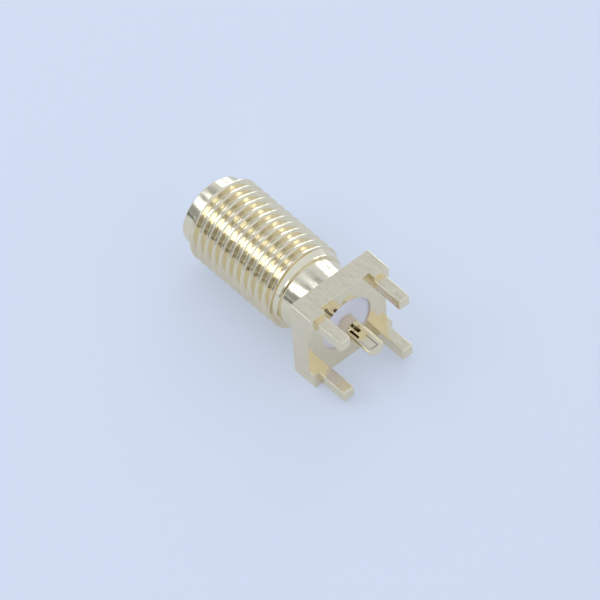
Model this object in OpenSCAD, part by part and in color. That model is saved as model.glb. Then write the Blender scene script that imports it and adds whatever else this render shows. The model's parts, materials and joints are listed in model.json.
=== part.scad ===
// Coaxial jack for a circuit board: a threaded barrel on a square flange with four legs,
// an insulator pressed into its bore, and a centre contact with a socket and a tail.
// Millimetres. The axis of the barrel is X, and the mating end faces +X.
// X = 0 is the plane in which the four feet of the flange sit on the board.

/* [Barrel] */
// Length from the board to the front face of the nose
barrel_len = 13.78; // [13.4:0.02:14.6]
// Diameter over the thread crests
thread_d = 6.2; // [6.1:0.05:6.35]
// Distance from one thread crest to the next
thread_pitch = 0.7056; // [0.69:0.0001:0.72]
// Depth of the thread
thread_depth = 0.4; // [0.3:0.01:0.42]
// Number of crests between the land and the nose
crest_count = 12; // [8:1:12]
// Diameter of the plain nose in front of the thread
nose_d = 5.26; // [5.1:0.02:5.4]
// Diameter of the plain neck between the thread and the flange
neck_d = 5.16; // [4.8:0.02:5.3]
// Place where the neck ends and the plain land behind the thread begins
land_x = 4.14; // [3.9:0.02:4.2]
// Diameter of the land, which is lower than the crests
land_d = 5.66; // [5.5:0.02:5.9]
// Place of the first thread crest
first_crest = 4.74; // [4.7:0.02:4.9]

/* [Bores] */
// Diameter of the bore that holds the insulator
bore_d = 4.1; // [3.9:0.02:4.2]
// Diameter of the wide mouth that takes the plug's outer contact
mouth_d = 4.64; // [4.6:0.01:4.68]
// Depth of the mouth, down to the insulator's front face
mouth_depth = 1.94; // [1.9:0.01:2.1]

/* [Flange] */
// Side of the square flange
flange_w = 6.74; // [6.6:0.02:7.2]
// Distance from the board to the front face of the flange
flange_x = 2.0; // [1.6:0.05:2.2]
// Height of the feet, which is the depth of the cross-shaped relief between them
foot_h = 0.49; // [0.3:0.01:0.6]
// Bevel on the flange's long edges
flange_bevel = 0.07; // [0.03:0.01:0.15]

/* [Legs] */
// Distance from leg to leg across the flange
leg_pitch = 5.08; // [5:0.01:5.1]
// Side of each square leg
leg_w = 0.86; // [0.8:0.01:0.9]
// Length of the legs below the board plane
leg_len = 2.46; // [1.6:0.02:4]
// Bevel on the legs' edges
leg_bevel = 0.05; // [0.02:0.01:0.1]
// Bevel around the legs' tips
tip_bevel = 0.09; // [0.05:0.01:0.15]

/* [Insulator] */
// Distance of the insulator's rear face below the floor of the relief
insulator_recess = 0.13; // [0:0.01:0.3]

/* [Contact] */
// Diameter of the contact's socket
socket_d = 1.27; // [1.24:0.01:1.3]
// Diameter of the hole in the socket
socket_hole_d = 0.93; // [0.92:0.01:0.94]
// Depth of the hole in the socket
socket_depth = 2.6; // [2.4:0.1:3.2]
// Width of the four slots that divide the socket into springy fingers
slot_w = 0.13; // [0.1:0.01:0.14]
// Distance of the socket's front face behind the insulator's front face
socket_recess = 0.1; // [0:0.02:0.24]
// Diameter of the contact's tail
tail_d = 1.22; // [1.2:0.01:1.24]
// Length of the tail below the board plane
tail_len = 2.46; // [1.8:0.02:4]
// Place below the board plane where the flat on the tail begins
flat_start = 0.38; // [0.2:0.02:0.6]
// Height of the flat over the axis
flat_z = 0.27; // [0.2:0.01:0.35]

/* [Hidden] */

// Small overlap that lets joined or cut solids pass through each other's faces.
eps = 0.02;
round_fn = 64;
contact_fn = 40;

// Thread: a symmetric sixty-degree profile, drawn as one closed ridge for each turn.
flank_angle = 30;
thread_r = thread_d/2;
root_r = thread_r - thread_depth;
crest_flat = 0.13;
flank_x = thread_depth*tan(flank_angle);
land_r = land_d/2;
land_bevel = 0.05;
nose_r = nose_d/2;
last_crest = first_crest + (crest_count - 1)*thread_pitch;
nose_bevel = 0.12;
mouth_bevel = 0.1;
// The barrel starts inside the flange, so that the two join in one solid.
barrel_start = foot_h + 0.5;

// Insulator and contact along the axis.
insulator_rear = foot_h + insulator_recess;
insulator_front = barrel_len - mouth_depth;
insulator_r = bore_d/2;
insulator_bevel = 0.06;
socket_r = socket_d/2;
socket_front = insulator_front - socket_recess;
tail_r = tail_d/2;
tail_shoulder = insulator_rear + 0.7;
finger_r = socket_r + 0.1;
finger_len = 2.3;
finger_root = socket_front - finger_len;

// Tail: a rolled tube, flattened on top, with a window at the flat's root and a seam.
roll_hole_r = 0.42;
roll_cover = 0.12;
window_len = 0.72;
window_y = [-0.14, 0.45];
roll_hole_x = [-flat_start - window_len - 0.05, -flat_start + 0.25];
seam_w = 0.05;
seam_depth = 0.1;
seam_end = -tail_len + 0.13;
tail_bevel = 0.05;

leg_at = leg_pitch/2;
// The feet end flush with the inner faces of the legs.
foot_in = leg_at - leg_w/2;

// Stands what is drawn around Z along the X axis.
module along_x() {
    rotate([0, 90, 0]) children();
}

// A rod from one place on the X axis to another.
module rod(from_x, to_x, r, fn = round_fn) {
    translate([from_x, 0, 0])
        along_x()
            cylinder(h = to_x - from_x, r = r, $fn = fn);
}

// A round tapered cut from one place on the X axis to another.
module taper(from_x, to_x, from_r, to_r, fn = round_fn) {
    translate([from_x, 0, 0])
        along_x()
            cylinder(h = to_x - from_x, r1 = from_r, r2 = to_r, $fn = fn);
}

// A block given by its lowest and highest corners.
module block(low, high) {
    translate(low) cube(high - low);
}

// A square of side w with its corners cut off at 45 degrees by b.
module beveled_square(w, b) {
    h = w/2;
    polygon([
        [h - b, h], [b - h, h], [-h, h - b], [-h, b - h],
        [b - h, -h], [h - b, -h], [h, b - h], [h, h - b]
    ]);
}

// Outline points [radius, x] of one thread crest centred at x.
function crest_points(x) = [
    [root_r, x - crest_flat/2 - flank_x],
    [thread_r, x - crest_flat/2],
    [thread_r, x + crest_flat/2],
    [root_r, x + crest_flat/2 + flank_x]
];

// The first crest rises from the land, which is thicker than the thread's root.
function run_out_points() = [
    [land_r, first_crest - crest_flat/2 - (thread_r - land_r)*tan(flank_angle)],
    [thread_r, first_crest - crest_flat/2],
    [thread_r, first_crest + crest_flat/2],
    [root_r, first_crest + crest_flat/2 + flank_x]
];

// The last crest falls onto the nose, which is thicker than the thread's root.
function lead_in_points() = [
    [root_r, last_crest - crest_flat/2 - flank_x],
    [thread_r, last_crest - crest_flat/2],
    [thread_r, last_crest + crest_flat/2],
    [nose_r, last_crest + crest_flat/2 + (thread_r - nose_r)*tan(flank_angle)]
];

function barrel_points() = concat(
    [[0, barrel_start], [neck_d/2, barrel_start], [neck_d/2, land_x],
     [land_r - land_bevel, land_x], [land_r, land_x + land_bevel]],
    run_out_points(),
    [for (i = [1:crest_count - 2]) each crest_points(first_crest + i*thread_pitch)],
    lead_in_points(),
    [[nose_r, barrel_len - nose_bevel], [nose_r - nose_bevel, barrel_len], [0, barrel_len]]
);

// The turned outside of the barrel, still without its bores.
module barrel() {
    along_x()
        rotate_extrude($fn = round_fn)
            polygon(barrel_points());
}

// The flange, with a cross-shaped relief that leaves a foot at each corner.
module flange() {
    half = flange_w/2 + eps;
    difference() {
        along_x()
            linear_extrude(height = flange_x)
                beveled_square(flange_w, flange_bevel);
        block([-eps, -foot_in, -half], [foot_h, foot_in, half]);
        block([-eps, -half, -foot_in], [foot_h, half, foot_in]);
    }
}

// Side view of a leg, [along the leg, across it], with the tip's bevel.
module leg_side() {
    h = leg_w/2;
    polygon([
        [foot_h/2, h], [foot_h/2, -h], [tip_bevel - leg_len, -h], [-leg_len, tip_bevel - h],
        [-leg_len, h - tip_bevel], [tip_bevel - leg_len, h]
    ]);
}

// One leg on the X axis: its section, trimmed by its two side views.
module leg() {
    intersection() {
        translate([-leg_len - eps, 0, 0])
            along_x()
                linear_extrude(height = leg_len + foot_h)
                    beveled_square(leg_w, leg_bevel);
        translate([0, 0, -leg_w/2])
            linear_extrude(height = leg_w)
                leg_side();
        translate([0, leg_w/2, 0])
            rotate([90, 0, 0])
                linear_extrude(height = leg_w)
                    leg_side();
    }
}

module legs() {
    for (y = [-leg_at, leg_at], z = [-leg_at, leg_at])
        translate([0, y, z]) leg();
}

// The insulator's bore and the wide mouth in front of it, with a bevelled rim.
module body_bores() {
    rod(-eps, barrel_len, bore_d/2);
    rod(insulator_front, barrel_len + eps, mouth_d/2);
    taper(barrel_len - mouth_bevel, barrel_len + eps, mouth_d/2, mouth_d/2 + mouth_bevel + eps);
}

module body() {
    color([0.85, 0.82, 0.70])
        difference() {
            union() {
                barrel();
                flange();
                legs();
            }
            body_bores();
        }
}

// The insulator is stepped inside: tight on the tail, then the socket, then free of its fingers.
module insulator() {
    color([0.94, 0.94, 0.95])
        difference() {
            union() {
                rod(insulator_rear, insulator_front - insulator_bevel, insulator_r);
                taper(insulator_front - insulator_bevel, insulator_front,
                    insulator_r, insulator_r - insulator_bevel);
            }
            rod(insulator_rear - eps, tail_shoulder + eps, tail_r, contact_fn);
            rod(tail_shoulder, insulator_front + eps, socket_r, contact_fn);
            rod(finger_root, insulator_front + eps, finger_r, contact_fn);
        }
}

// Two crossed cuts that divide the socket into four fingers.
module socket_slots() {
    for (turn = [0, 90])
        rotate([turn, 0, 0])
            block([finger_root, -socket_r - eps, -slot_w/2],
                [socket_front + eps, socket_r + eps, slot_w/2]);
}

// The hollow inside the rolled tail, covered by the flat except at the window.
module tail_hollow() {
    intersection() {
        rod(roll_hole_x[0], roll_hole_x[1], roll_hole_r, contact_fn);
        block([roll_hole_x[0] - eps, -tail_r, -tail_r],
            [roll_hole_x[1] + eps, tail_r, flat_z - roll_cover]);
    }
    block([-flat_start - window_len, window_y[0], 0],
        [-flat_start + eps, window_y[1], flat_z + eps]);
}

// The seam runs from the window's edge nearly to the tip, and turns across the flat there.
module tail_seam() {
    floor_z = flat_z - seam_depth;
    block([seam_end, window_y[0], floor_z],
        [-flat_start - window_len + eps, window_y[0] + seam_w, flat_z + eps]);
    block([seam_end - seam_w, window_y[0], floor_z],
        [seam_end, window_y[1], flat_z + eps]);
}

module contact() {
    color([0.86, 0.80, 0.60])
        difference() {
            union() {
                rod(tail_shoulder, socket_front, socket_r, contact_fn);
                rod(tail_bevel - tail_len, tail_shoulder + eps, tail_r, contact_fn);
                taper(-tail_len, tail_bevel - tail_len, tail_r - tail_bevel, tail_r, contact_fn);
            }
            rod(socket_front - socket_depth, socket_front + eps, socket_hole_d/2, contact_fn);
            socket_slots();
            block([-tail_len - eps, -tail_r - eps, flat_z], [-flat_start, tail_r + eps, tail_r + eps]);
            tail_hollow();
            tail_seam();
        }
}

body();
insulator();
contact();
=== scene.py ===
"""The looks of a coaxial board connector, built round its packed frame.

Lengths are in metres. The barrel's axis is X, its mating end faces +X, and the four feet of the
flange sit at X = 0. Angles round the axis start at +Y and turn towards +Z.
"""

import itertools
import json
import math

import bmesh
import bpy
from bpy.props import FloatProperty, FloatVectorProperty, IntProperty, PointerProperty
from mathutils import Matrix, Vector


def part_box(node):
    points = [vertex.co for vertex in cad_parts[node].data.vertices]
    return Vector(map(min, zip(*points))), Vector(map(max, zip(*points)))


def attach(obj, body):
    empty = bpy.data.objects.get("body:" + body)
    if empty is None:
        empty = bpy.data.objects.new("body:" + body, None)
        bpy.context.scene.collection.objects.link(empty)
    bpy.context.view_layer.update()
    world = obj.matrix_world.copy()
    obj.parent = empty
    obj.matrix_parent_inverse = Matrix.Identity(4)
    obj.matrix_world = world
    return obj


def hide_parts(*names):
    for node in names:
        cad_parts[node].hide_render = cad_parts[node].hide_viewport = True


bl_info = {
    "name": "Coaxial board connector",
    "version": (1, 0, 0),
    "blender": (4, 5, 0),
    "location": "3D View > Sidebar > Connector",
    "description": "Finishes a threaded coaxial connector and lights it in a plain studio",
    "category": "Object",
}

MM = 0.001
WELD = 0.001 * MM

# Segments round the body and the insulator, and round the slimmer contact.
RING_SEGMENTS = 160
CONTACT_SEGMENTS = 96

# Segments across a bevel, a turned corner, and the rise of the tail's flat.
BEVEL_SEGMENTS = 3
CORNER_STEPS = 3
FLAT_RISE_STEPS = 8

# How far the wall of the thread's first turn stands behind the crest's flat, in points of the
# thread's outline.
WALL_GAP = 0.6

# Faces that turn by less are one flat face, by more are an outer corner, or a sharp edge.
FLAT_ANGLE = math.radians(1)
CORNER_ANGLE = math.radians(20)
SHARP_ANGLE = math.radians(35)

# Grains of each noise in a metre, along X, Y and Z.
TURNED_GRAIN = (30000, 2500, 2500)
MILLED_GRAIN = (6000, 6000, 6000)
CONTACT_GRAIN = (3000, 30000, 30000)
WAVE_GRAIN = (1600, 2200, 2200)
PLATING_CLOUD = (900, 900, 900)
INSULATOR_CLOUD = (1500, 1500, 1500)

# Where most of a noise's values lie.
NOISE_RANGE = (0.3, 0.7)

# The least and the most of a finish's own colour and roughness over its surface.
PLATING_TONES = (0.97, 1.02)
PLATING_ROUGHNESS = (0.75, 1.3)
INSULATOR_TONES = (0.97, 1)

# The insulator's least and greatest roughness.
INSULATOR_ROUGHNESS = (0.4, 0.5)

# The camera's sensor in millimetres, and the nearest and farthest it sees in metres.
SENSOR_WIDTH = 36
CLIP_START = 0.01
CLIP_END = 10

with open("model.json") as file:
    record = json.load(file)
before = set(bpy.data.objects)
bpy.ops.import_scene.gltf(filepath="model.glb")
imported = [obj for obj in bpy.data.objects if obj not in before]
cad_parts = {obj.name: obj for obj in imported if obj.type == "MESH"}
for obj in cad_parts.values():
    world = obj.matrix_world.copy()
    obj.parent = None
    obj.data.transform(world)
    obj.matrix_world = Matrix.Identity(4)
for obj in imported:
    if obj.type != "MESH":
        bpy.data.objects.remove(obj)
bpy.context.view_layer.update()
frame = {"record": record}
BODY_LOW, BODY_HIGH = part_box("body")
INSULATOR_LOW, INSULATOR_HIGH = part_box("insulator")
CONTACT_LOW, CONTACT_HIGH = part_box("contact")
MOUNT_RADIUS = {
    mount["name"]: mount["dims"]["r_mm"] * MM
    for mount in frame["record"]["mounts"]
    if "r_mm" in mount["dims"]
}


# Properties


def length(name, description, default):
    """A length in metres."""
    return FloatProperty(
        name=name, description=description, default=default, unit="LENGTH", precision=6
    )


def angle(name, description, degrees):
    """An angle, given in degrees."""
    return FloatProperty(
        name=name, description=description, default=math.radians(degrees), unit="ROTATION"
    )


def share(name, description, default):
    """A number from 0 to 1."""
    return FloatProperty(
        name=name, description=description, default=default, min=0, max=1, subtype="FACTOR"
    )


def colour(name, description, default):
    """A linear colour."""
    return FloatVectorProperty(
        name=name, description=description, default=default, size=3, min=0, max=1, subtype="COLOR"
    )


class ThreadSizes(bpy.types.PropertyGroup):
    """The one helical thread on the barrel."""

    pitch: length("Pitch", "Distance from crest to crest", 0.7056 * MM)
    crest_radius: length("Crest radius", "Radius over the crests", MOUNT_RADIUS["thread"])
    depth: length("Depth", "Depth of the groove", 0.4 * MM)
    crest_flat: length("Crest flat", "Width of the flat on a crest", 0.09 * MM)
    edge_round: length("Edge round", "How softly the flanks meet crest and root", 0.05 * MM)
    flank: angle("Flank", "Slope of a flank from a plane across the axis", 30)
    start: length("Start", "Where the ridge begins to rise from the land", 4.3 * MM)
    ridge_rise: length("Ridge rise", "Length over which the ridge reaches its height", 0.24 * MM)
    groove_start: length("Groove start", "Where the groove's middle begins to cut in", 4.66 * MM)
    end: length("End", "Where the thread has come down to the nose", 12.95 * MM)
    run_out: length("Run-out", "Length over which the groove reaches its depth", 0.2 * MM)
    crest_x: length("Crest place", "Place of one crest at the crest angle", 4.72 * MM)
    crest_angle: angle("Crest angle", "Angle round the axis at which that crest is given", 52)
    samples: IntProperty(name="Samples", description="Points along each pitch", default=24, min=8)


class BodySizes(bpy.types.PropertyGroup):
    """The plain parts of the barrel, the flange, its feet and its legs."""

    neck_radius: length("Neck radius", "Radius of the plain neck", 2.58 * MM)
    land_x: length("Land", "Where the neck ends and the land begins", 4.18 * MM)
    land_radius: length("Land radius", "Radius of the land at its rear end", 2.79 * MM)
    land_slope: share("Land slope", "Rise of the land for its length", 0.3)
    nose_radius: length("Nose radius", "Radius of the plain nose", 2.63 * MM)
    nose_bevel: length("Nose bevel", "Outer bevel of the front face", 0.12 * MM)
    mouth_bevel: length("Mouth bevel", "Inner bevel of the front face", 0.1 * MM)
    turned_round: length("Turned round", "Radius left on turned corners", 0.03 * MM)
    flange_x: length("Flange front", "Front face of the flange", 2.0 * MM)
    floor_x: length("Relief floor", "Floor of the relief between the feet", 0.49 * MM)
    leg_pitch: length("Leg pitch", "Distance between the legs' axes", 5.08 * MM)
    leg_width: length("Leg width", "Side of a square leg", 0.86 * MM)
    tip_bevel: length("Tip bevel", "Bevel round a leg's tip", 0.09 * MM)
    flange_bevel: length("Flange bevel", "Bevel on the flange's long edges", 0.07 * MM)
    leg_bevel: length("Leg bevel", "Bevel on a leg's long edges", 0.05 * MM)
    edge_bevel: length("Edge bevel", "Bevel on all other milled edges", 0.03 * MM)


class ContactSizes(bpy.types.PropertyGroup):
    """The centre contact and the insulator that holds it."""

    tail_radius: length("Tail radius", "Radius of the tail", 0.61 * MM)
    tail_bevel: length("Tail bevel", "Bevel round the tail's tip", 0.05 * MM)
    shoulder_x: length("Inner shoulder", "Where the tail becomes the wider socket", 1.32 * MM)
    flat_start: length("Flat start", "Distance of the flat below the board plane", 0.16 * MM)
    flat_rise: length("Flat rise", "Length over which the flat rises to the root", 0.06 * MM)
    flat_z: length("Flat height", "Height of the flat over the axis", 0.27 * MM)
    hollow_radius: length("Hollow radius", "Radius inside the rolled tail", 0.42 * MM)
    hollow_cover: length("Hollow cover", "Thickness of metal over the hollow", 0.12 * MM)
    hollow_rear: length("Hollow rear", "How far the hollow runs behind the windows", 0.05 * MM)
    hollow_front: length("Hollow front", "How far the hollow runs past the flat", 0.25 * MM)
    far_shoulder: length("Far shoulder", "How softly the flat meets the -Y side", 0.2 * MM)
    near_shoulder: length("Near shoulder", "How softly the flat meets the +Y side", 0.07 * MM)
    window_length: length("Window length", "Distance of the windows' rear ends", 0.98 * MM)
    window_low: length("Window low", "The windows' side at -Y", -0.14 * MM)
    window_high: length("Window high", "The windows' side at +Y", 0.49 * MM)
    strip_low: length("Strip low", "The -Y side of the strip between the windows", 0.13 * MM)
    strip_high: length("Strip high", "The +Y side of the strip between the windows", 0.3 * MM)
    wide_rear: length("Wide rear", "How much sooner the wider window ends", 0.35 * MM)
    wide_front: length("Wide front", "Distance of the wider window from the root", 0.08 * MM)
    slim_front: length("Slim front", "Distance of the slimmer window from the root", 0.14 * MM)
    seam_start: length("Seam start", "Distance of the seam from the windows", 0.12 * MM)
    seam_width: length("Seam width", "Width of the seam along the flat", 0.045 * MM)
    seam_depth: length("Seam depth", "Depth of the seam", 0.4 * MM)
    seam_margin: length("Seam margin", "Distance of the seam's end from the tip", 0.09 * MM)
    hole_depth: length("Hole depth", "Depth of the socket's hole", 2.6 * MM)
    slot_width: length("Slot width", "Width of the slots between the fingers", 0.13 * MM)
    slot_length: length("Slot length", "Length of the slots", 2.3 * MM)
    finger_gap: length("Finger gap", "Room between the fingers and the insulator", 0.1 * MM)
    insulator_bevel: length("Insulator bevel", "Bevel on the insulator's front edge", 0.06 * MM)


class Finishes(bpy.types.PropertyGroup):
    """The colours and the gloss of the finishes."""

    plating: colour("Plating", "Thin pale gold over nickel", (0.885, 0.775, 0.55))
    plating_roughness: share("Plating roughness", "Roughness of turned metal", 0.12)
    milled_roughness: share("Milled roughness", "Roughness of milled metal", 0.2)
    mark_height: length("Mark height", "Height of the body's tool marks", 0.004 * MM)
    contact_mark_height: length("Contact marks", "Height of the contact's tool marks", 0.001 * MM)
    wave_height: length("Wave height", "Height of the slow waves on the barrel", 0.012 * MM)
    calm_wave_height: length("Calm waves", "Height of the waves elsewhere", 0.002 * MM)
    insulator: colour("Insulator", "White fluoropolymer", (0.97, 0.9, 0.92))


class StudioLook(bpy.types.PropertyGroup):
    """The floor, the light and the camera."""

    floor: colour("Floor", "Pale plain floor", (0.84, 0.86, 0.89))
    floor_glow: share("Floor glow", "How much of the floor's tone is the background's", 0.46)
    floor_roughness: share("Floor roughness", "Roughness of the floor", 0.9)
    floor_gloss: share("Floor gloss", "Strength of the floor's own reflection", 0.2)
    floor_half: length("Floor half", "Half of the floor's side", 3000 * MM)
    background: colour("Background", "Colour behind the floor", (0.65, 0.73, 0.89))
    room_light: colour("Room light", "Soft light from all sides", (0.735, 0.825, 0.99))
    softbox: colour("Softbox", "Colour of the soft lamps", (0.78, 0.87, 1.0))
    azimuth: angle("Azimuth", "Turn of the camera round the object", 231.93)
    elevation: angle("Elevation", "Height of the camera over the horizon", 50.589)
    roll: angle("Roll", "Turn of the camera about its own axis", -4.278)
    distance: length("Distance", "Distance from the camera to what it looks at", 1001.7 * MM)
    half_width: length("Half width", "Half of the width seen at one metre", 19.436 * MM)
    lamp_distance: length("Lamp distance", "Distance of the lamps from the board plane", 300 * MM)


GROUPS = {
    "connector_thread": ThreadSizes,
    "connector_body": BodySizes,
    "connector_contact": ContactSizes,
    "connector_finish": Finishes,
    "connector_studio": StudioLook,
}

# What the camera looks at.
AIM = Vector((4.047, 0.918, 0)) * MM

# Soft lamps: azimuth to the right of the view and elevation in degrees, width and height in
# metres, and brightness.
SOFTBOXES = {
    "left softbox": (-88, 40.5, 0.2, 0.075, 2.4),
    "front softbox": (17, 28, 0.14, 0.085, 1.9),
    "low softbox": (22, 6, 0.14, 0.07, 1.7),
    "top softbox": (-42, 58, 0.07, 0.045, 1.3),
}

# Darker places in the room, which the metal reflects: azimuth and elevation of the middle, half
# of the width and of the height in degrees, and the share of the room's light that is left.
ROOM_PATCHES = (
    (2, 49, 14, 8, 0.87),
    (-20, 57.5, 13, 7, 0.5),
    (-72, 55, 10, 5, 0.45),
    (-92, 20, 26, 10, 0.42),
    (-95, 4, 30, 5, 0.2),
    (164, 54, 16, 12, 0.04),
    (-170, 26, 15, 32, 0.04),
)

# Where a patch starts to show, and where it is full, as a share of its half size.
PATCH_START = 1.25
PATCH_FULL = 0.75


# Node trees


class Wiring:
    """Adds nodes to a tree and links their inputs."""

    def __init__(self, tree):
        self.tree = tree

    def add(self, kind, inputs=(), **settings):
        """A new node. The inputs are pairs of a socket's name or index and a value or a socket."""
        node = self.tree.nodes.new(kind)
        for name, value in settings.items():
            setattr(node, name, value)
        for key, value in dict(inputs).items():
            if isinstance(value, bpy.types.NodeSocket):
                self.tree.links.new(value, node.inputs[key])
            else:
                node.inputs[key].default_value = value
        return node

    def math(self, operation, *values):
        """The result of one scalar sum."""
        return self.add("ShaderNodeMath", enumerate(values), operation=operation).outputs[0]

    def wrapped(self, value, half):
        """A value brought to between minus half and half of a span by whole spans."""
        return self.math("WRAP", value, half, self.math("MULTIPLY", half, -1))

    def dot(self, a, b):
        """The dot product of two vectors."""
        node = self.add("ShaderNodeVectorMath", {0: a, 1: b}, operation="DOT_PRODUCT")
        return node.outputs["Value"]

    def mixed(self, factor, a, b):
        """A colour between two colours."""
        inputs = {"Factor": factor, "A": a, "B": b}
        return self.add("ShaderNodeMix", inputs, data_type="RGBA").outputs["Result"]

    def smooth_step(self, value, start, reach):
        """A smooth rise from 0 at a value to 1 a reach further on."""
        end = self.math("ADD", start, reach)
        inputs = {"Value": value, "From Min": start, "From Max": end}
        return self.add("ShaderNodeMapRange", inputs, interpolation_type="SMOOTHSTEP").outputs[0]


THREAD_INPUTS = {
    "Pitch": "Float",
    "Crest Radius": "Float",
    "Depth": "Float",
    "Crest Flat": "Float",
    "Edge Round": "Float",
    "Start": "Float",
    "Ridge Rise": "Float",
    "Groove Start": "Float",
    "Run Out": "Float",
    "End": "Float",
    "Land Radius": "Float",
    "Land Slope": "Float",
    "Nose Radius": "Float",
    "First Crest": "Float",
    "Flank Rise": "Float",
    "Samples": "Int",
    "Segments": "Int",
    "Material": "Material",
}


def thread_tree():
    """A node group that turns a flat grid into the skin of a helical thread round X.

    Its columns follow the thread's own outline and its rows go once round the axis, each a little
    further along, so that the last row meets the first one pitch on. Both ends are cut square.
    """
    tree = bpy.data.node_groups.new("helical thread", "GeometryNodeTree")
    for name, kind in THREAD_INPUTS.items():
        tree.interface.new_socket(name, in_out="INPUT", socket_type="NodeSocket" + kind)
    tree.interface.new_socket("Geometry", in_out="OUTPUT", socket_type="NodeSocketGeometry")
    w = Wiring(tree)
    given = w.add("NodeGroupInput").outputs

    # One column for each point along the thread, over one pitch more than its length.
    spacing = w.math("DIVIDE", given["Pitch"], given["Samples"])
    span = w.math("ADD", w.math("SUBTRACT", given["End"], given["Start"]), given["Pitch"])
    columns = w.math("ADD", w.math("CEIL", w.math("DIVIDE", span, spacing)), 1)
    width = w.math("SUBTRACT", columns, 1)
    rows = w.math("ADD", given["Segments"], 1)
    grid = w.add(
        "GeometryNodeMeshGrid",
        {"Size X": width, "Size Y": given["Segments"], "Vertices X": columns, "Vertices Y": rows},
    )
    position = w.add("GeometryNodeInputPosition").outputs[0]
    place = w.add("ShaderNodeSeparateXYZ", {0: position}).outputs
    column = w.math("MULTIPLY_ADD", width, 0.5, place["X"])
    row = w.math("MULTIPLY_ADD", given["Segments"], 0.5, place["Y"])
    turn = w.math("DIVIDE", row, given["Segments"])

    # Where the point lies along the axis, and how far it is from the nearest crest.
    first = w.math("SUBTRACT", given["Start"], given["Pitch"])
    along = w.math("MULTIPLY_ADD", column, spacing, first)
    advanced = w.math("MULTIPLY_ADD", given["Pitch"], turn, along)
    x = w.math("MINIMUM", w.math("MAXIMUM", advanced, given["Start"]), given["End"])
    half_pitch = w.math("MULTIPLY", given["Pitch"], 0.5)
    from_crest = w.math("SUBTRACT", along, given["First Crest"])
    off_crest = w.wrapped(from_crest, half_pitch)
    half_flat = w.math("MULTIPLY", given["Crest Flat"], 0.5)
    off_flat = w.math("SUBTRACT", w.math("ABSOLUTE", off_crest), half_flat)

    # The sixty-degree outline, softly joined to crest and root.
    crest = given["Crest Radius"]
    fall = w.math("MULTIPLY", off_flat, given["Flank Rise"])
    flank = w.math("SUBTRACT", crest, fall)
    root = w.math("SUBTRACT", crest, given["Depth"])
    above_root = w.math("SMOOTH_MAX", root, flank, given["Edge Round"])
    outline = w.math("SMOOTH_MIN", crest, above_root, given["Edge Round"])

    # The ridge rises out of the land, with a steep wall just behind its flat.
    past_start = w.math("SUBTRACT", x, given["Start"])
    land = w.math("MULTIPLY_ADD", past_start, given["Land Slope"], given["Land Radius"])
    wall_gap = w.math("MULTIPLY", spacing, -WALL_GAP)
    rear_edge = w.math("MULTIPLY_ADD", given["Crest Flat"], -0.5, wall_gap)
    wall_place = w.math("ADD", w.math("SUBTRACT", x, off_crest), rear_edge)
    risen = w.smooth_step(wall_place, given["Start"], given["Ridge Rise"])
    before_wall = w.math("GREATER_THAN", off_crest, rear_edge)
    above_land = w.math("MAXIMUM", w.math("SUBTRACT", outline, land), 0)
    raised = w.math("MULTIPLY", above_land, w.math("MULTIPLY", risen, before_wall))
    uncut = w.math("ADD", land, raised)

    # The groove is cut from where its middle passes the groove's start, and the front flank comes
    # down to the nose.
    off_groove = w.wrapped(w.math("SUBTRACT", from_crest, half_pitch), half_pitch)
    groove_place = w.math("SUBTRACT", x, off_groove)
    cut_in = w.smooth_step(groove_place, given["Groove Start"], given["Run Out"])
    faded = w.math("MULTIPLY_ADD", w.math("SUBTRACT", outline, uncut), cut_in, uncut)
    before_nose = w.math("SUBTRACT", given["End"], x)
    lead_in = w.math("MULTIPLY_ADD", before_nose, given["Flank Rise"], given["Nose Radius"])
    radius = w.math("SMOOTH_MIN", faded, lead_in, w.math("MULTIPLY", given["Edge Round"], 0.5))

    turned = w.math("MULTIPLY", turn, math.tau)
    y = w.math("MULTIPLY", radius, w.math("COSINE", turned))
    z = w.math("MULTIPLY", radius, w.math("SINE", turned))
    point = w.add("ShaderNodeCombineXYZ", {"X": x, "Y": y, "Z": z}).outputs[0]
    moved = w.add("GeometryNodeSetPosition", {"Geometry": grid.outputs["Mesh"], "Position": point})
    welded = w.add("GeometryNodeMergeByDistance", {"Geometry": moved.outputs[0], "Distance": WELD})
    real = w.add("GeometryNodeRealizeInstances", {"Geometry": welded.outputs[0]})
    finished = w.add(
        "GeometryNodeSetMaterial", {"Geometry": real.outputs[0], "Material": given["Material"]}
    )
    w.add("NodeGroupOutput", {"Geometry": finished.outputs[0]})
    return tree


def new_material(name):
    """A material with its wiring and its Principled shader."""
    material = bpy.data.materials.new(name)
    material.use_nodes = True
    wiring = Wiring(material.node_tree)
    shader = material.node_tree.nodes["Principled BSDF"]
    return material, wiring, shader


def stretched_noise(w, grains, detail=3.0):
    """Noise on Object coordinates with so many grains a metre along each axis."""
    place = w.add("ShaderNodeTexCoord").outputs["Object"]
    mapped = w.add("ShaderNodeMapping", {"Vector": place, "Scale": grains}).outputs[0]
    inputs = {"Vector": mapped, "Scale": 1.0, "Detail": detail}
    return w.add("ShaderNodeTexNoise", inputs).outputs["Fac"]


def spread(w, noise, low, high):
    """A noise, spread from low to high."""
    start, end = NOISE_RANGE
    inputs = {"Value": noise, "From Min": start, "From Max": end, "To Min": low, "To Max": high}
    return w.add("ShaderNodeMapRange", inputs).outputs[0]


def clouded(w, noise, tint, tones):
    """A colour that drifts with a noise between a darker and a lighter share of itself."""
    dark, light = (Vector(tint) * tone for tone in tones)
    return w.mixed(spread(w, noise, 0, 1), (*dark, 1), (*light, 1))


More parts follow.
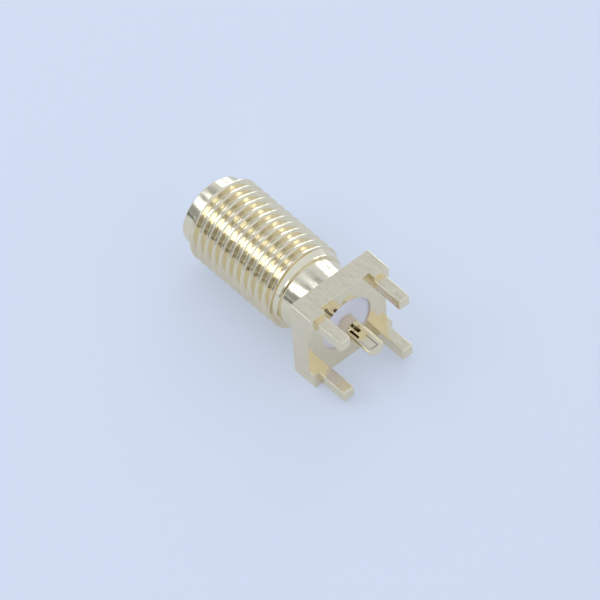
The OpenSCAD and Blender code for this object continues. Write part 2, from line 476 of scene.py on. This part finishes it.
def plated_material(name, look, roughness, grains, mark_height, wave_height):
    """Thin pale gold plating over fine tool marks and slow waves."""
    material, w, shader = new_material(name)
    shader.inputs["Metallic"].default_value = 1.0
    cloud = stretched_noise(w, PLATING_CLOUD)
    tone = clouded(w, cloud, look.plating, PLATING_TONES)
    w.tree.links.new(tone, shader.inputs["Base Color"])
    grain = stretched_noise(w, grains)
    smoother, rougher = PLATING_ROUGHNESS
    rough = spread(w, grain, roughness * smoother, roughness * rougher)
    w.tree.links.new(rough, shader.inputs["Roughness"])
    wave = stretched_noise(w, WAVE_GRAIN, detail=1.0)
    swell = w.add("ShaderNodeBump", {"Height": wave, "Distance": wave_height, "Strength": 1.0})
    marks = w.add(
        "ShaderNodeBump",
        {"Height": grain, "Distance": mark_height, "Strength": 1.0, "Normal": swell.outputs[0]},
    )
    w.tree.links.new(marks.outputs[0], shader.inputs["Normal"])
    return material


def insulator_material(look):
    """White fluoropolymer, a little waxy and faintly clouded."""
    material, w, shader = new_material("white insulator")
    cloud = stretched_noise(w, INSULATOR_CLOUD)
    tone = clouded(w, cloud, look.insulator, INSULATOR_TONES)
    w.tree.links.new(tone, shader.inputs["Base Color"])
    w.tree.links.new(spread(w, cloud, *INSULATOR_ROUGHNESS), shader.inputs["Roughness"])
    shader.inputs["Subsurface Weight"].default_value = 0.2
    shader.inputs["Subsurface Radius"].default_value = (0.4, 0.4, 0.4)
    shader.inputs["Subsurface Scale"].default_value = 1 * MM
    return material


# Meshes


def ring_point(x, radius, turn):
    """A point at a place and radius on the axis, a share of a turn round from +Y."""
    return Vector((x, radius * math.cos(math.tau * turn), radius * math.sin(math.tau * turn)))


def softened(outline, radius):
    """An open outline with its corners rounded over a radius, or half of their shorter side."""
    points = [Vector(p) for p in outline]
    soft = [points[0]]
    for before, corner, after in zip(points, points[1:], points[2:]):
        room = min(radius, (before - corner).length / 2, (after - corner).length / 2)
        start = corner + (before - corner).normalized() * room
        end = corner + (after - corner).normalized() * room
        for i in range(CORNER_STEPS + 1):
            t = i / CORNER_STEPS
            soft.append(start * (1 - t) ** 2 + corner * 2 * t * (1 - t) + end * t**2)
    return [*soft, points[-1]]


def add_lathe(bm, outline, segments, closed=False):
    """Adds the surface that an outline of (x, radius) points sweeps round the X axis."""
    rings = []
    for x, radius in outline:
        turns = range(segments) if radius > 0 else [0]
        rings.append([bm.verts.new(ring_point(x, radius, i / segments)) for i in turns])
    pairs = list(zip(rings, rings[1:]))
    if closed:
        pairs.append((rings[-1], rings[0]))
    for a, b in pairs:
        for i in range(segments):
            j = (i + 1) % segments
            corners = [a[i % len(a)], a[j % len(a)], b[j % len(b)], b[i % len(b)]]
            bm.faces.new(dict.fromkeys(corners))


def add_cells(bm, planes, is_solid):
    """Adds the outer faces of the solid cells between planes given along X, Y and Z."""
    corners = {}

    def corner(key):
        if key not in corners:
            corners[key] = bm.verts.new([planes[axis][key[axis]] for axis in range(3)])
        return corners[key]

    counts = [len(p) - 1 for p in planes]

    def solid(cell):
        return all(0 <= cell[a] < counts[a] for a in range(3)) and is_solid(*cell)

    for cell in itertools.product(*map(range, counts)):
        if not solid(cell):
            continue
        for axis in range(3):
            u, v = (axis + 1) % 3, (axis + 2) % 3
            for side in (0, 1):
                beside = list(cell)
                beside[axis] += 2 * side - 1
                if solid(beside):
                    continue
                square = []
                for du, dv in ((0, 0), (1, 0), (1, 1), (0, 1)):
                    key = list(cell)
                    key[axis] += side
                    key[u] += du
                    key[v] += dv
                    square.append(corner(tuple(key)))
                bm.faces.new(square if side else reversed(square))


def is_convex(edge):
    """Whether an edge is an outer corner."""
    return len(edge.link_faces) == 2 and edge.is_convex and edge.calc_face_angle() > CORNER_ANGLE


def temporary(bm, name):
    """A linked object that holds a bmesh, which is freed."""
    mesh = bpy.data.meshes.new(name)
    bm.to_mesh(mesh)
    bm.free()
    obj = bpy.data.objects.new(name, mesh)
    bpy.context.scene.collection.objects.link(obj)
    return obj


def evaluated_mesh(obj):
    """The mesh of an object with its modifiers on it. The object is removed."""
    graph = bpy.context.evaluated_depsgraph_get()
    mesh = bpy.data.meshes.new_from_object(obj.evaluated_get(graph), depsgraph=graph)
    bpy.data.objects.remove(obj)
    return mesh


def thread_mesh(sizes, body, material):
    """The helical thread as a plain mesh, open at both ends."""
    tree = thread_tree()
    crest_turn = sizes.crest_angle / math.tau
    values = {
        "Pitch": sizes.pitch,
        "Crest Radius": sizes.crest_radius,
        "Depth": sizes.depth,
        "Crest Flat": sizes.crest_flat,
        "Edge Round": sizes.edge_round,
        "Start": sizes.start,
        "Ridge Rise": sizes.ridge_rise,
        "Groove Start": sizes.groove_start,
        "Run Out": sizes.run_out,
        "End": sizes.end,
        "Land Radius": body.land_radius,
        "Land Slope": body.land_slope,
        "Nose Radius": body.nose_radius,
        "First Crest": sizes.crest_x - sizes.pitch * crest_turn,
        "Flank Rise": 1 / math.tan(sizes.flank),
        "Samples": sizes.samples,
        "Segments": RING_SEGMENTS,
        "Material": material,
    }
    obj = temporary(bmesh.new(), "thread")
    modifier = obj.modifiers.new("thread", "NODES")
    modifier.node_group = tree
    for item in tree.interface.items_tree:
        if item.in_out == "INPUT":
            modifier[item.identifier] = values[item.name]
    return evaluated_mesh(obj)


def flange_mesh(sizes):
    """The square flange with its relief, feet and legs, bevelled and still without its bore."""
    half = BODY_HIGH.y
    inner = sizes.leg_pitch / 2 - sizes.leg_width / 2
    outer = inner + sizes.leg_width
    across = [-half, -outer, -inner, inner, outer, half]
    along = [BODY_LOW.x, 0, sizes.floor_x, sizes.flange_x]

    def is_solid(i, j, k):
        """Legs behind the board plane, then feet beside the relief, then the whole flange."""
        if i == 0:
            return j in (1, 3) and k in (1, 3)
        return i == 2 or (j != 2 and k != 2)

    bm = bmesh.new()
    add_cells(bm, (along, across, across), is_solid)
    bm.normal_update()
    bmesh.ops.dissolve_limit(
        bm, angle_limit=FLAT_ANGLE, verts=bm.verts, edges=bm.edges, delimit={"NORMAL"}
    )
    bm.normal_update()
    weight = bm.edges.layers.float.new("bevel_weight_edge")
    widest = sizes.tip_bevel
    for edge in bm.edges:
        if not is_convex(edge):
            continue
        a, b = (v.co for v in edge.verts)
        lengthwise = abs(a.x - b.x) > WELD
        if max(a.x, b.x) < BODY_LOW.x + WELD:
            width = sizes.tip_bevel
        elif lengthwise and min(abs(a.y), abs(a.z)) > half - WELD:
            width = sizes.flange_bevel
        elif lengthwise and min(a.x, b.x) < BODY_LOW.x + WELD:
            width = sizes.leg_bevel
        else:
            width = sizes.edge_bevel
        edge[weight] = width / widest
    obj = temporary(bm, "flange")
    bevel = obj.modifiers.new("bevel", "BEVEL")
    bevel.limit_method = "WEIGHT"
    bevel.width = widest
    bevel.segments = BEVEL_SEGMENTS
    bevel.use_clamp_overlap = False
    return evaluated_mesh(obj)


def pierce(bm, x, radius):
    """Opens a round hole in the flat face at a place on the axis, which is split along Y there."""
    halves = [
        f
        for f in bm.faces
        if all(abs(v.co.x - x) < WELD for v in f.verts)
        and any(abs(v.co.z) < WELD and v.co.y > radius for v in f.verts)
        and any(abs(v.co.z) < WELD and v.co.y < -radius for v in f.verts)
    ]
    if len(halves) != 2:
        raise RuntimeError(f"{len(halves)} halves to pierce at {x}")
    turns = [i / RING_SEGMENTS for i in range(RING_SEGMENTS)]
    ring = [bm.verts.new(ring_point(x, radius, turn)) for turn in turns]
    half_count = RING_SEGMENTS // 2
    for face in halves:
        rim = list(face.verts)
        upper = sum(v.co.z for v in rim) > 0
        count = len(rim)
        start = next(
            i
            for i in range(count)
            if abs(rim[i].co.z) < WELD and abs(rim[(i + 1) % count].co.z) < WELD
        )
        rim = [rim[(start + 1 + i) % count] for i in range(count)]
        half_ring = ring[: half_count + 1] if upper else [*ring[half_count:], ring[0]]
        if (rim[-1].co - half_ring[0].co).length > (rim[-1].co - half_ring[-1].co).length:
            half_ring = half_ring[::-1]
        index = face.material_index
        chord = [e for e in face.edges if all(abs(v.co.z) < WELD for v in e.verts)]
        bm.faces.remove(face)
        bm.faces.new([*rim, *half_ring]).material_index = index
        for edge in chord:
            if edge.is_valid and not edge.link_faces:
                bm.edges.remove(edge)


def weld_closed(bm, name):
    """Merges what meets, points every face outwards, and fails unless the surface is closed."""
    bmesh.ops.remove_doubles(bm, verts=bm.verts, dist=WELD)
    bmesh.ops.recalc_face_normals(bm, faces=bm.faces)
    open_edges = [e for e in bm.edges if len(e.link_faces) != 2]
    if open_edges:
        raise RuntimeError(f"{name} has {len(open_edges)} open edges")


def shaded(mesh):
    """The mesh with its sharp edges marked, and with its large faces shaded flat."""
    mesh.shade_smooth()
    mesh.set_sharp_from_angle(angle=SHARP_ANGLE)
    obj = bpy.data.objects.new("shaded", mesh)
    bpy.context.scene.collection.objects.link(obj)
    modifier = obj.modifiers.new("normals", "WEIGHTED_NORMAL")
    modifier.keep_sharp = True
    return evaluated_mesh(obj)


def finished_mesh(bm, name):
    """The shaded mesh of a bmesh, which is freed."""
    mesh = bpy.data.meshes.new(name)
    bm.to_mesh(mesh)
    bm.free()
    return shaded(mesh)


def new_piece(name, mesh, materials):
    """A finished piece at the origin, which rides on the one body of the part."""
    mesh.materials.clear()
    for material in materials:
        mesh.materials.append(material)
    obj = bpy.data.objects.new(name, mesh)
    bpy.context.scene.collection.objects.link(obj)
    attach(obj, "root")
    return obj


def box_cutter(low, high):
    """A temporary block from its lowest to its highest corner."""
    bm = bmesh.new()
    add_cells(bm, [[a, b] for a, b in zip(low, high)], lambda i, j, k: True)
    return temporary(bm, "cutter")


def rod_cutter(low_x, high_x, radius):
    """A temporary rod on the X axis."""
    bm = bmesh.new()
    add_lathe(bm, [(low_x, 0), (low_x, radius), (high_x, radius), (high_x, 0)], CONTACT_SEGMENTS)
    bmesh.ops.recalc_face_normals(bm, faces=bm.faces)
    return temporary(bm, "cutter")


def combined(target, others, operation="DIFFERENCE"):
    """Cuts the other objects from the target, or joins or intersects them. They are removed."""
    for other in others:
        modifier = target.modifiers.new("cut", "BOOLEAN")
        modifier.operation = operation
        modifier.solver = "EXACT"
        modifier.object = other
    graph = bpy.context.evaluated_depsgraph_get()
    mesh = bpy.data.meshes.new_from_object(target.evaluated_get(graph), depsgraph=graph)
    target.modifiers.clear()
    target.data = mesh
    for other in others:
        bpy.data.objects.remove(other)
    return target


def flatten(vertex, sizes):
    """Presses a point of the round tail down to the flat, with a soft shoulder on either side.

    The shoulder is the smooth minimum of the two radii. The flat rises to the root over its rise.
    """
    x, y, z = vertex.co
    radius = math.hypot(y, z)
    past_root = (-sizes.flat_start - x) / sizes.flat_rise
    if z <= 0 or past_root <= 0 or radius < WELD:
        return
    on_flat = sizes.flat_z * radius / z
    soft = sizes.near_shoulder if y > 0 else sizes.far_shoulder
    overlap = max(soft - abs(radius - on_flat), 0) / soft
    pressed = min(radius, on_flat) - overlap**3 * soft / 6
    target = radius + (pressed - radius) * math.sqrt(min(past_root, 1))
    vertex.co.y = y * target / radius
    vertex.co.z = z * target / radius


# Operators


class CONNECTOR_OT_body(bpy.types.Operator):
    """Builds the plated body: barrel, helical thread, flange, feet and legs in one closed skin"""

    bl_idname = "connector.build_body"
    bl_label = "Body"

    def execute(self, context):
        sizes = context.scene.connector_body
        thread = context.scene.connector_thread
        look = context.scene.connector_finish
        turned = plated_material(
            "turned plating",
            look,
            look.plating_roughness,
            TURNED_GRAIN,
            look.mark_height,
            look.wave_height,
        )
        milled = plated_material(
            "milled plating",
            look,
            look.milled_roughness,
            MILLED_GRAIN,
            look.mark_height,
            look.calm_wave_height,
        )

        bm = bmesh.new()
        bm.from_mesh(flange_mesh(sizes))
        for face in bm.faces:
            face.material_index = 1
        everything = [*bm.verts, *bm.edges, *bm.faces]
        bmesh.ops.bisect_plane(bm, geom=everything, plane_co=(0, 0, 0), plane_no=(0, 0, 1))

        bore_radius = INSULATOR_HIGH.y
        mouth_radius = MOUNT_RADIUS["mouth"]
        mouth_floor = INSULATOR_HIGH.x
        front = BODY_HIGH.x
        pierce(bm, sizes.flange_x, sizes.neck_radius)
        pierce(bm, sizes.floor_x, bore_radius)
        neck_and_land = [
            (sizes.flange_x, sizes.neck_radius),
            (sizes.land_x, sizes.neck_radius),
            (sizes.land_x, sizes.land_radius),
            (thread.start, sizes.land_radius),
        ]
        nose_and_bores = [
            (thread.end, sizes.nose_radius),
            (front - sizes.nose_bevel, sizes.nose_radius),
            (front, sizes.nose_radius - sizes.nose_bevel),
            (front, mouth_radius + sizes.mouth_bevel),
            (front - sizes.mouth_bevel, mouth_radius),
            (mouth_floor, mouth_radius),
            (mouth_floor, bore_radius),
            (sizes.floor_x, bore_radius),
        ]
        for outline in (neck_and_land, nose_and_bores):
            add_lathe(bm, softened(outline, sizes.turned_round), RING_SEGMENTS)
        bm.from_mesh(thread_mesh(thread, sizes, turned))
        weld_closed(bm, "body")
        mesh = finished_mesh(bm, "body_skin")
        obj = new_piece("body_skin", mesh, (turned, milled))
        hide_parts("body")
        return {"FINISHED"}


class CONNECTOR_OT_insulator(bpy.types.Operator):
    """Builds the white insulator, stepped inside round the contact"""

    bl_idname = "connector.build_insulator"
    bl_label = "Insulator"

    def execute(self, context):
        sizes = context.scene.connector_contact
        rear, front, radius = INSULATOR_LOW.x, INSULATOR_HIGH.x, INSULATOR_HIGH.y
        socket_radius = CONTACT_HIGH.y
        finger_room = socket_radius + sizes.finger_gap
        finger_root = CONTACT_HIGH.x - sizes.slot_length
        outline = [
            (rear, sizes.tail_radius),
            (rear, radius),
            (front - sizes.insulator_bevel, radius),
            (front, radius - sizes.insulator_bevel),
            (front, finger_room),
            (finger_root, finger_room),
            (finger_root, socket_radius),
            (sizes.shoulder_x, socket_radius),
            (sizes.shoulder_x, sizes.tail_radius),
        ]
        bm = bmesh.new()
        add_lathe(bm, outline, RING_SEGMENTS, closed=True)
        weld_closed(bm, "insulator")
        mesh = finished_mesh(bm, "insulator_bush")
        material = insulator_material(context.scene.connector_finish)
        obj = new_piece("insulator_bush", mesh, (material,))
        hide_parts("insulator")
        return {"FINISHED"}


class CONNECTOR_OT_contact(bpy.types.Operator):
    """Builds the centre contact: slotted socket, rolled tail with its flat, windows and seam"""

    bl_idname = "connector.build_contact"
    bl_label = "Contact"

    def execute(self, context):
        sizes = context.scene.connector_contact
        look = context.scene.connector_finish
        tip, front, socket_radius = CONTACT_LOW.x, CONTACT_HIGH.x, CONTACT_HIGH.y
        hole_radius = MOUNT_RADIUS["socket"]
        root = -sizes.flat_start
        rises = [1 - i / FLAT_RISE_STEPS for i in range(FLAT_RISE_STEPS + 1)]
        outline = [
            (tip, 0),
            (tip, sizes.tail_radius - sizes.tail_bevel),
            (tip + sizes.tail_bevel, sizes.tail_radius),
            *[(root - sizes.flat_rise * rise, sizes.tail_radius) for rise in rises],
            (sizes.shoulder_x, sizes.tail_radius),
            (sizes.shoulder_x, socket_radius),
            (front, socket_radius),
            (front, hole_radius),
            (front - sizes.hole_depth, hole_radius),
            (front - sizes.hole_depth, 0),
        ]
        bm = bmesh.new()
        add_lathe(bm, outline, CONTACT_SEGMENTS)
        for vertex in bm.verts:
            flatten(vertex, sizes)
        weld_closed(bm, "contact")
        contact = temporary(bm, "contact")

        beyond = 1 * MM
        windows_rear = root - sizes.window_length
        hollow = rod_cutter(
            windows_rear - sizes.hollow_rear, root + sizes.hollow_front, sizes.hollow_radius
        )
        hollow_top = sizes.flat_z - sizes.hollow_cover
        under_flat = box_cutter((tip - beyond, -beyond, -beyond), (beyond, beyond, hollow_top))
        combined(hollow, [under_flat], "INTERSECT")
        wide_window = box_cutter(
            (windows_rear + sizes.wide_rear, sizes.window_low, 0),
            (root - sizes.wide_front, sizes.strip_low, beyond),
        )
        slim_window = box_cutter(
            (windows_rear, sizes.strip_high, 0),
            (root - sizes.slim_front, sizes.window_high, beyond),
        )
        seam_floor = sizes.flat_z - sizes.seam_depth
        seam_end = tip + sizes.seam_margin
        seam_low = (seam_end - sizes.seam_width, sizes.window_low, seam_floor)
        seam_along = box_cutter(
            seam_low,
            (windows_rear - sizes.seam_start, sizes.window_low + sizes.seam_width, beyond),
        )
        seam_across = box_cutter(seam_low, (seam_end, sizes.window_high, beyond))
        half_slot = sizes.slot_width / 2
        slot_root = front - sizes.slot_length
        slots = [
            box_cutter((slot_root, -beyond, -half_slot), (front + beyond, beyond, half_slot)),
            box_cutter((slot_root, -half_slot, -beyond), (front + beyond, half_slot, beyond)),
        ]
        combined(contact, [hollow, wide_window, slim_window, seam_along, seam_across, *slots])

        mesh = shaded(evaluated_mesh(contact))
        material = plated_material(
            "contact plating",
            look,
            look.plating_roughness,
            CONTACT_GRAIN,
            look.contact_mark_height,
            look.calm_wave_height,
        )
        obj = new_piece("centre_contact", mesh, (material,))
        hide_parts("contact")
        return {"FINISHED"}


def direction(look, azimuth, elevation):
    """The direction at an azimuth to the right of the view and an elevation, in degrees."""
    a = look.azimuth - math.radians(azimuth)
    e = math.radians(elevation)
    return Vector((-math.sin(a) * math.cos(e), math.cos(a) * math.cos(e), math.sin(e)))


def soft_lamp(context, look, name, azimuth, elevation, width, height, strength):
    """A rectangular lamp of a given brightness that faces the object from a direction."""
    data = bpy.data.lights.new(name, "AREA")
    data.shape = "RECTANGLE"
    data.size = width
    data.size_y = height
    data.color = look.softbox
    data.energy = strength * width * height * math.pi
    lamp = bpy.data.objects.new(name, data)
    context.scene.collection.objects.link(lamp)
    towards = direction(look, azimuth, elevation)
    lamp.location = towards * look.lamp_distance
    lamp.rotation_euler = towards.to_track_quat("Z", "Y").to_euler()
    lamp.visible_camera = False


def light_room(context, look):
    """Soft light from all sides, with a few darker places, and a plain background."""
    world = bpy.data.worlds.new("studio room")
    context.scene.world = world
    world.use_nodes = True
    world.node_tree.nodes.clear()
    w = Wiring(world.node_tree)
    ray = w.add("ShaderNodeTexCoord").outputs["Generated"]
    tone = (*look.room_light, 1)
    for azimuth, elevation, half_width, half_height, left in ROOM_PATCHES:
        centre = direction(look, azimuth, elevation)
        across = direction(look, azimuth + 90, 0)
        off_across, off_up = (
            w.math("DIVIDE", w.dot(ray, axis), math.sin(math.radians(half)))
            for axis, half in ((across, half_width), (centre.cross(across), half_height))
        )
        squares = w.math("ADD", w.math("POWER", off_across, 2), w.math("POWER", off_up, 2))
        inside = w.add(
            "ShaderNodeMapRange",
            {"Value": w.math("SQRT", squares), "From Min": PATCH_START, "From Max": PATCH_FULL},
            interpolation_type="SMOOTHSTEP",
        ).outputs[0]
        ahead = w.math("GREATER_THAN", w.dot(ray, centre), 0)
        patch = (*(Vector(look.room_light) * left), 1)
        tone = w.mixed(w.math("MULTIPLY", inside, ahead), tone, patch)
    seen = w.add("ShaderNodeLightPath").outputs["Is Camera Ray"]
    shown = w.mixed(seen, tone, (*look.background, 1))
    background = w.add("ShaderNodeBackground", {"Color": shown, "Strength": 1.0})
    w.add("ShaderNodeOutputWorld", {"Surface": background.outputs[0]})


def add_floor(context, look):
    """A plain pale floor under the flange, which glows a little in the background's colour."""
    half = look.floor_half
    corners = [(-half, -half), (half, -half), (half, half), (-half, half)]
    mesh = bpy.data.meshes.new("floor")
    mesh.from_pydata([(x, y, BODY_LOW.z) for x, y in corners], [], [range(4)])
    material, w, shader = new_material("pale floor")
    shader.inputs["Base Color"].default_value = (*look.floor, 1)
    shader.inputs["Roughness"].default_value = look.floor_roughness
    shader.inputs["Specular IOR Level"].default_value = look.floor_gloss
    rays = w.add("ShaderNodeLightPath").outputs
    direct = w.math("MAXIMUM", rays["Is Camera Ray"], rays["Is Glossy Ray"])
    amount = w.math("MULTIPLY", direct, look.floor_glow)
    glow = w.add("ShaderNodeEmission", {"Color": (*look.background, 1), "Strength": 1.0})
    shown = w.add("ShaderNodeMixShader", {0: amount, 1: shader.outputs[0], 2: glow.outputs[0]})
    output = material.node_tree.nodes["Material Output"]
    w.tree.links.new(shown.outputs[0], output.inputs["Surface"])
    mesh.materials.append(material)
    floor = bpy.data.objects.new("floor", mesh)
    context.scene.collection.objects.link(floor)


def add_camera(context, look):
    """The camera, turned about its own axis, far off behind a long lens."""
    back = Vector(
        (
            math.sin(look.azimuth) * math.cos(look.elevation),
            -math.cos(look.azimuth) * math.cos(look.elevation),
            math.sin(look.elevation),
        )
    )
    data = bpy.data.cameras.new("camera")
    data.sensor_width = SENSOR_WIDTH
    data.lens = SENSOR_WIDTH / 2 / look.half_width
    data.clip_start = CLIP_START
    data.clip_end = CLIP_END
    camera = bpy.data.objects.new("camera", data)
    context.scene.collection.objects.link(camera)
    level = (-back).to_track_quat("-Z", "Y").to_matrix().to_4x4()
    rolled = level @ Matrix.Rotation(look.roll, 4, "Z")
    camera.matrix_world = Matrix.Translation(AIM + back * look.distance) @ rolled
    context.scene.camera = camera


class CONNECTOR_OT_studio(bpy.types.Operator):
    """Lays the floor, lights the room and sets the camera"""

    bl_idname = "connector.build_studio"
    bl_label = "Studio"

    def execute(self, context):
        look = context.scene.connector_studio
        add_floor(context, look)
        light_room(context, look)
        for name, values in SOFTBOXES.items():
            soft_lamp(context, look, name, *values)
        add_camera(context, look)
        context.scene.view_settings.view_transform = "Standard"
        return {"FINISHED"}


OPERATORS = (
    CONNECTOR_OT_body,
    CONNECTOR_OT_insulator,
    CONNECTOR_OT_contact,
    CONNECTOR_OT_studio,
)


class CONNECTOR_PT_panel(bpy.types.Panel):
    """Lists the connector's pieces, their sizes and their finishes"""

    bl_idname = "CONNECTOR_PT_panel"
    bl_label = "Connector"
    bl_space_type = "VIEW_3D"
    bl_region_type = "UI"
    bl_category = "Connector"

    def draw(self, context):
        for operator in OPERATORS:
            self.layout.operator(operator.bl_idname)
        for name, group in GROUPS.items():
            box = self.layout.box()
            box.label(text=group.__doc__)
            for key in group.__annotations__:
                box.prop(getattr(context.scene, name), key)


def register():
    """Adds the properties, the operators and the panel."""
    for name, group in GROUPS.items():
        bpy.utils.register_class(group)
        setattr(bpy.types.Scene, name, PointerProperty(type=group))
    for cls in (*OPERATORS, CONNECTOR_PT_panel):
        bpy.utils.register_class(cls)


def unregister():
    """Takes the panel, the operators and the properties away again."""
    for cls in (CONNECTOR_PT_panel, *reversed(OPERATORS)):
        bpy.utils.unregister_class(cls)
    for name, group in GROUPS.items():
        delattr(bpy.types.Scene, name)
        bpy.utils.unregister_class(group)


def main():
    """Builds every piece in order, then the studio."""
    register()
    bpy.ops.connector.build_body()
    bpy.ops.connector.build_insulator()
    bpy.ops.connector.build_contact()
    bpy.ops.connector.build_studio()


if __name__ == "__main__":
    main()
